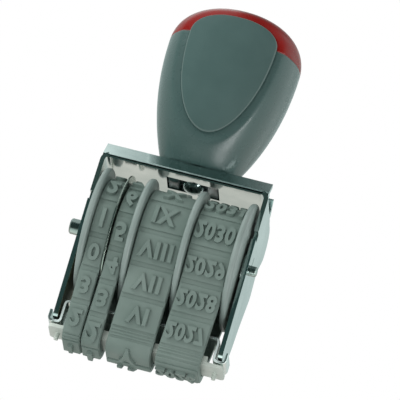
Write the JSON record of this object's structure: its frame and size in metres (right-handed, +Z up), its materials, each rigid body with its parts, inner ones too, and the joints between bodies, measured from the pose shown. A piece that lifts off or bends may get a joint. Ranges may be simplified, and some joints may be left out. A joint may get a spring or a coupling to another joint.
{
  "type": "date stamp",
  "caption": "Hand date stamp: rubber type bands on thumb wheels in a bent metal frame, with a platen below and a flat oval handle with inset grip panels.",
  "frame": {"origin": "on the printing face, under the middle of the frame", "axes": "+X along the axle, from the day bands to the year band; -Y the front; +Z up the handle"},
  "size_m": [0.0336, 0.0232, 0.0678],
  "materials": {
    "frame_metal": "bright plating on bent sheet steel",
    "clip_metal": "bright plating on spring strip",
    "axle_steel": "plain turned steel",
    "screw_steel": "dark plated dome head",
    "insert_brass": "turned brass",
    "wheel_plastic": "satin moulded plastic",
    "type_rubber": "matte moulded rubber",
    "platen_plastic": "satin moulded plastic",
    "handle_plastic": "semi gloss moulded plastic",
    "panel_plastic": "fine matte grain",
    "cap_plastic": "gloss moulded plastic"
  },
  "bodies": {
    "stamp": {"frame": "frame_metal", "axle": "axle_steel", "left_spacer": "axle_steel", "right_spacer": "axle_steel", "separator_disc": "axle_steel", "day_tens_band": "type_rubber", "day_units_band": "type_rubber", "month_band": "type_rubber", "year_band": "type_rubber", "platen": "platen_plastic", "platen_clip": "clip_metal", "handle_body": "handle_plastic", "handle_cap": "cap_plastic", "front_grip_panel": "panel_plastic", "rear_grip_panel": "panel_plastic", "handle_screw": "screw_steel", "threaded_insert": "insert_brass"},
    "day_tens": {"day_tens_wheel": "wheel_plastic"},
    "day_units": {"day_units_wheel": "wheel_plastic"},
    "month": {"month_wheel": "wheel_plastic"},
    "year": {"year_wheel": "wheel_plastic"}
  },
  "joints": [
    {"name": "day_tens_turn", "type": "hinge", "parent": "stamp", "child": "day_tens", "pos_m": [-0.0112, -0.0008, 0.0219], "axis": [1, 0, 0], "continuous": true},
    {"name": "day_units_turn", "type": "hinge", "parent": "stamp", "child": "day_units", "pos_m": [-0.0065, -0.0008, 0.0219], "axis": [1, 0, 0], "continuous": true},
    {"name": "month_turn", "type": "hinge", "parent": "stamp", "child": "month", "pos_m": [0.0002, -0.0008, 0.0219], "axis": [1, 0, 0], "continuous": true},
    {"name": "year_turn", "type": "hinge", "parent": "stamp", "child": "year", "pos_m": [0.0093, -0.0008, 0.0219], "axis": [1, 0, 0], "continuous": true}
  ]
}
